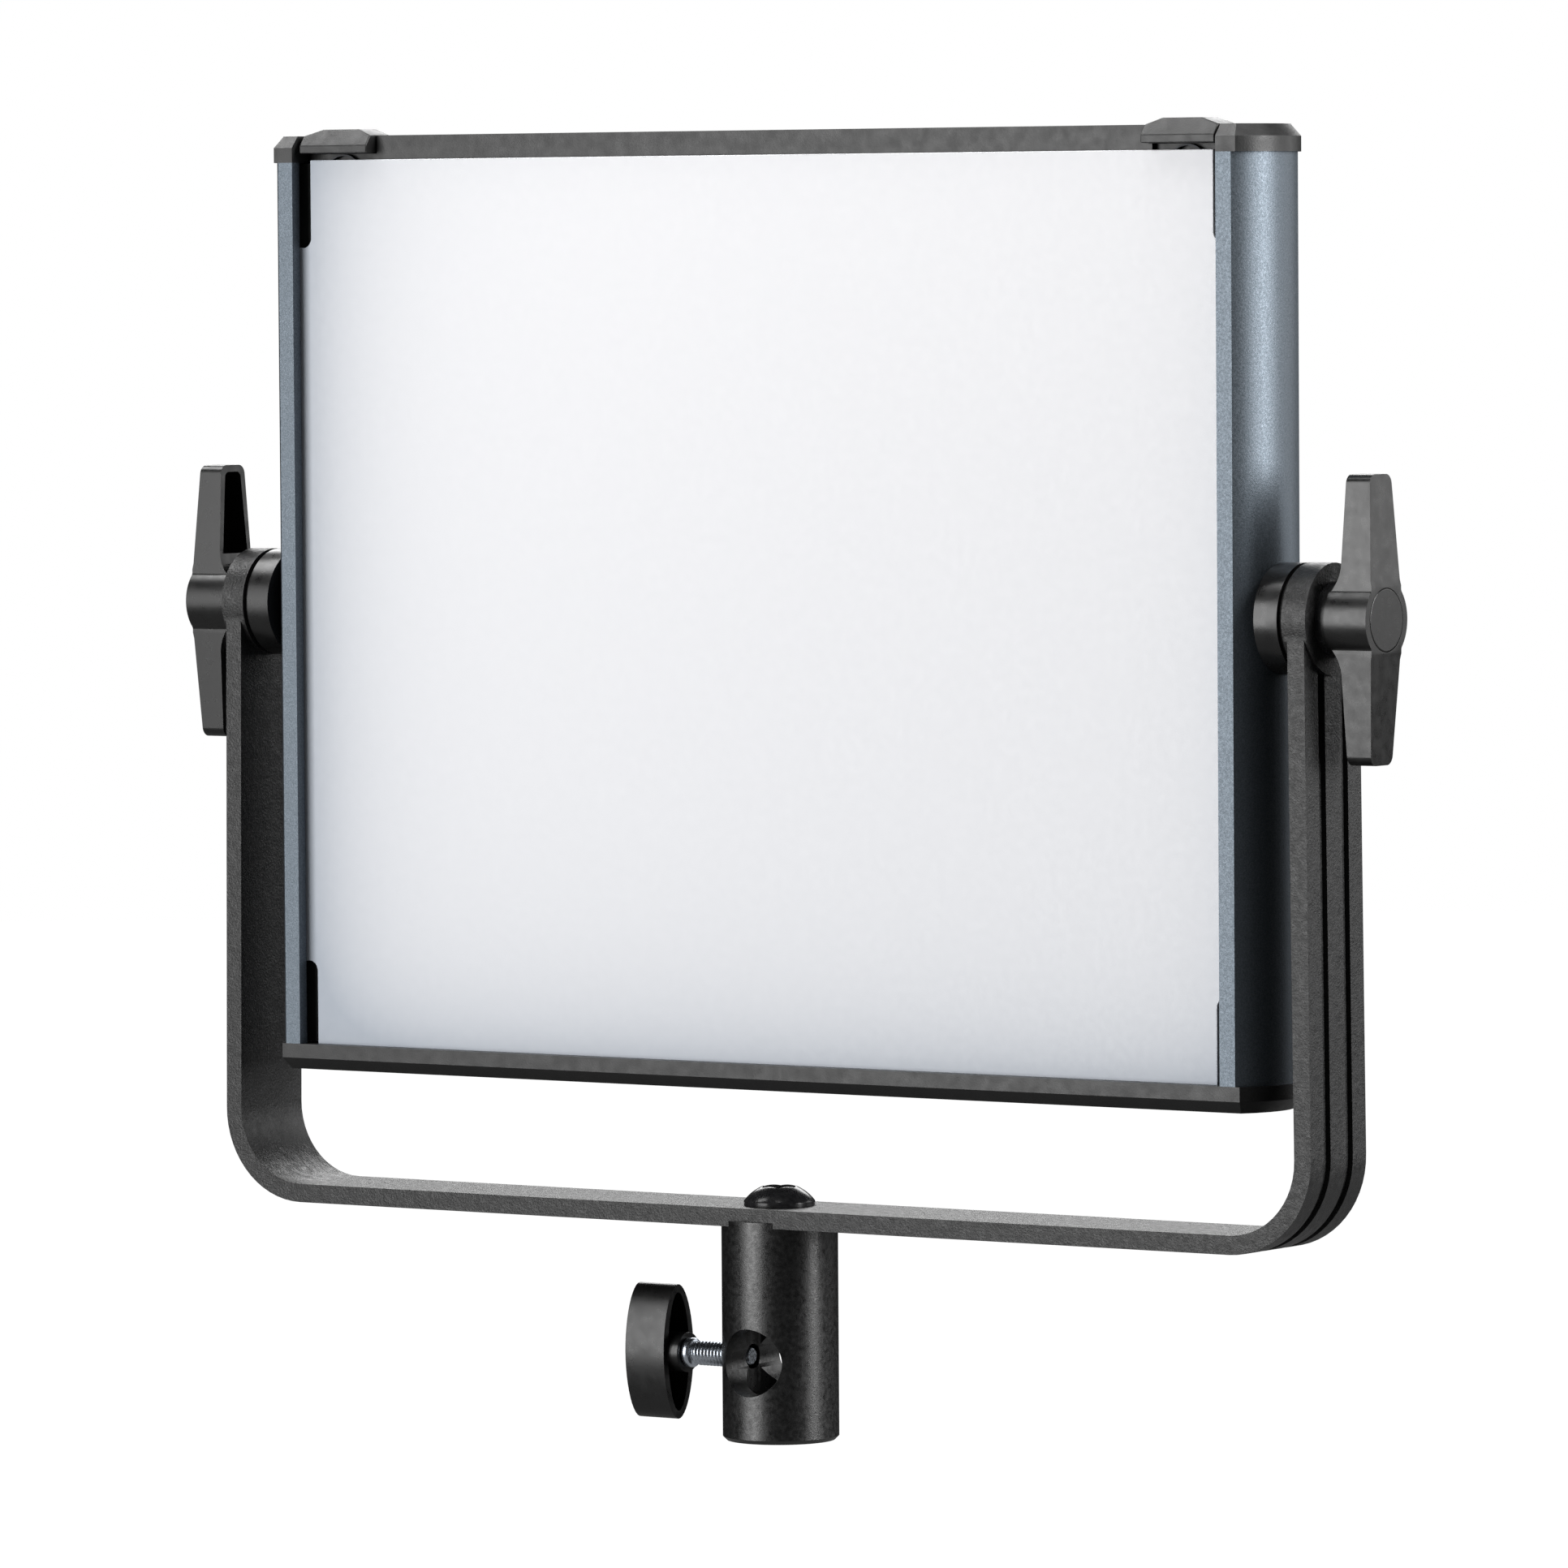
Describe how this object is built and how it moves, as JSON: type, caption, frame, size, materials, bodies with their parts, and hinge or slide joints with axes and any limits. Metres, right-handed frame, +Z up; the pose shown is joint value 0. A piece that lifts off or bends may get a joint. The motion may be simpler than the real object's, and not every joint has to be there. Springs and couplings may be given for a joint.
{
  "type": "led panel light",
  "caption": "Flat rectangular LED panel light with a frosted front sheet, on a grooved U-shaped yoke with two locking levers and a stand socket with a clamp screw.",
  "frame": {"origin": "centre of the upright stand socket's mouth", "axes": "+Z up the socket towards the head, -Y towards the lit face, +X to the right of a person facing the lit face"},
  "size_m": [0.3478, 0.0563, 0.322],
  "materials": {
    "yoke_powder_coat": "textured black powder coat",
    "receiver_powder_coat": "fine-grained satin black powder coat",
    "rail_anodised": "bead-blasted blue-grey anodising",
    "heat_sink_black": "black anodising",
    "cap_plastic": "fine moulded texture",
    "housing_plastic": "fine moulded texture",
    "lever_plastic": "smooth satin moulding",
    "control_plastic": "satin moulding",
    "frame_plastic": "matt black moulding",
    "diffuser_acrylic": "milky, lightly frosted acrylic",
    "zinc_steel": "bright zinc plating",
    "black_steel": "black oxide",
    "nylon": "natural nylon",
    "friction_rubber": "matt",
    "circuit_board": "solder resist",
    "led_board_white": "white solder resist",
    "led_phosphor": "clear resin over phosphor",
    "component_plastic": "moulded component bodies",
    "window_acrylic": "smoked, glossy",
    "contact_brass": "bright"
  },
  "bodies": {
    "yoke": {"yoke": "yoke_powder_coat", "pivot_bushes": "nylon", "thrust_washers": "black_steel", "receiver": "receiver_powder_coat", "receiver_bolt": "black_steel"},
    "clamp_screw": {"clamp_screw": "zinc_steel"},
    "clamp_knob": {"clamp_knob": "lever_plastic"},
    "head": {"side_rail_left": "rail_anodised", "side_rail_right": "rail_anodised", "pivot_hub_left": "lever_plastic", "pivot_hub_right": "lever_plastic", "friction_washers": "friction_rubber", "hub_screws": "zinc_steel", "top_cap": "cap_plastic", "bottom_cap": "cap_plastic", "cap_screws": "black_steel", "latch_springs": "zinc_steel", "diffuser": "diffuser_acrylic", "light_frame": "frame_plastic", "led_board": "led_board_white", "leds": "led_phosphor", "rear_panel": "heat_sink_black", "control_housing": "housing_plastic", "housing_screws": "black_steel", "display_window": "window_acrylic", "display_module": "component_plastic", "control_board": "circuit_board", "tact_switches": "component_plastic", "encoders": "component_plastic", "power_switch": "housing_plastic", "dc_inlet": "housing_plastic", "usb_port": "zinc_steel", "driver_board": "circuit_board", "battery_plate_left": "housing_plastic", "battery_plate_right": "housing_plastic", "battery_contacts": "contact_brass", "plate_screws": "black_steel"},
    "stud_left": {"stud_left": "zinc_steel"},
    "stud_right": {"stud_right": "zinc_steel"},
    "lever_left": {"lever_left": "lever_plastic", "lever_cap_left": "lever_plastic"},
    "lever_right": {"lever_right": "lever_plastic", "lever_cap_right": "lever_plastic"},
    "latch_left": {"latch_left": "cap_plastic"},
    "latch_right": {"latch_right": "cap_plastic"},
    "encoder_shaft_left": {"encoder_shaft_left": "zinc_steel"},
    "encoder_shaft_right": {"encoder_shaft_right": "zinc_steel"},
    "knob_left": {"knob_left": "control_plastic"},
    "knob_right": {"knob_right": "control_plastic"},
    "button_1": {"button_1": "control_plastic"},
    "button_2": {"button_2": "control_plastic"},
    "button_3": {"button_3": "control_plastic"},
    "button_4": {"button_4": "control_plastic"},
    "power_rocker": {"power_rocker": "control_plastic"},
    "battery_release_left": {"battery_release_left": "control_plastic"},
    "battery_release_right": {"battery_release_right": "control_plastic"}
  },
  "joints": [
    {"name": "head_tilt", "type": "hinge", "parent": "yoke", "child": "head", "pos_m": [0, 0, 0.2035], "axis": [1, 0, 0], "continuous": true},
    {"name": "stud_left_travel", "type": "slide", "parent": "head", "child": "stud_left", "axis": [-1, 0, 0], "range_m": [0, 0.00125]},
    {"name": "lever_left_turn", "type": "hinge", "parent": "stud_left", "child": "lever_left", "pos_m": [-0.168, 0, 0.2035], "axis": [-1, 0, 0], "range_deg": [0, 360]},
    {"name": "stud_right_travel", "type": "slide", "parent": "head", "child": "stud_right", "axis": [1, 0, 0], "range_m": [0, 0.00125]},
    {"name": "lever_right_turn", "type": "hinge", "parent": "stud_right", "child": "lever_right", "pos_m": [0.168, 0, 0.2035], "axis": [1, 0, 0], "range_deg": [0, 360]},
    {"name": "clamp_screw_travel", "type": "slide", "parent": "yoke", "child": "clamp_screw", "axis": [1, 0, 0], "range_m": [-0.004, 0.01]},
    {"name": "clamp_knob_turn", "type": "hinge", "parent": "clamp_screw", "child": "clamp_knob", "pos_m": [-0.036, 0, 0.0199], "axis": [1, 0, 0], "range_deg": [-1440, 3600]},
    {"name": "latch_left_slide", "type": "slide", "parent": "head", "child": "latch_left", "axis": [0, 1, 0], "range_m": [0, 0.0038]},
    {"name": "latch_right_slide", "type": "slide", "parent": "head", "child": "latch_right", "axis": [0, 1, 0], "range_m": [0, 0.0038]},
    {"name": "knob_left_push", "type": "slide", "parent": "head", "child": "encoder_shaft_left", "axis": [0, -1, 0], "range_m": [0, 0.0006], "stiffness_N_per_m": 1500},
    {"name": "knob_left_spin", "type": "hinge", "parent": "encoder_shaft_left", "child": "knob_left", "pos_m": [-0.042, 0.035, 0.1765], "axis": [0, -1, 0], "continuous": true},
    {"name": "knob_right_push", "type": "slide", "parent": "head", "child": "encoder_shaft_right", "axis": [0, -1, 0], "range_m": [0, 0.0006], "stiffness_N_per_m": 1500},
    {"name": "knob_right_spin", "type": "hinge", "parent": "encoder_shaft_right", "child": "knob_right", "pos_m": [0.042, 0.035, 0.1765], "axis": [0, -1, 0], "continuous": true},
    {"name": "button_1_push", "type": "slide", "parent": "head", "child": "button_1", "axis": [0, -1, 0], "range_m": [0, 0.0005], "stiffness_N_per_m": 600},
    {"name": "button_2_push", "type": "slide", "parent": "head", "child": "button_2", "axis": [0, -1, 0], "range_m": [0, 0.0005], "stiffness_N_per_m": 600},
    {"name": "button_3_push", "type": "slide", "parent": "head", "child": "button_3", "axis": [0, -1, 0], "range_m": [0, 0.0005], "stiffness_N_per_m": 600},
    {"name": "button_4_push", "type": "slide", "parent": "head", "child": "button_4", "axis": [0, -1, 0], "range_m": [0, 0.0005], "stiffness_N_per_m": 600},
    {"name": "power_rocker_tilt", "type": "hinge", "parent": "head", "child": "power_rocker", "pos_m": [0, 0.028, 0.1595], "axis": [0, 0, 1], "range_deg": [0, 16]},
    {"name": "battery_release_left_push", "type": "slide", "parent": "head", "child": "battery_release_left", "axis": [0, -1, 0], "range_m": [0, 0.0015], "stiffness_N_per_m": 400},
    {"name": "battery_release_right_push", "type": "slide", "parent": "head", "child": "battery_release_right", "axis": [0, -1, 0], "range_m": [0, 0.0015], "stiffness_N_per_m": 400}
  ],
  "couplings": [
    {"joint": "lever_left_turn", "follows": "stud_left_travel", "rad_per_m": 5026.5},
    {"joint": "lever_right_turn", "follows": "stud_right_travel", "rad_per_m": 5026.5},
    {"joint": "clamp_knob_turn", "follows": "clamp_screw_travel", "rad_per_m": 6283.2}
  ]
}
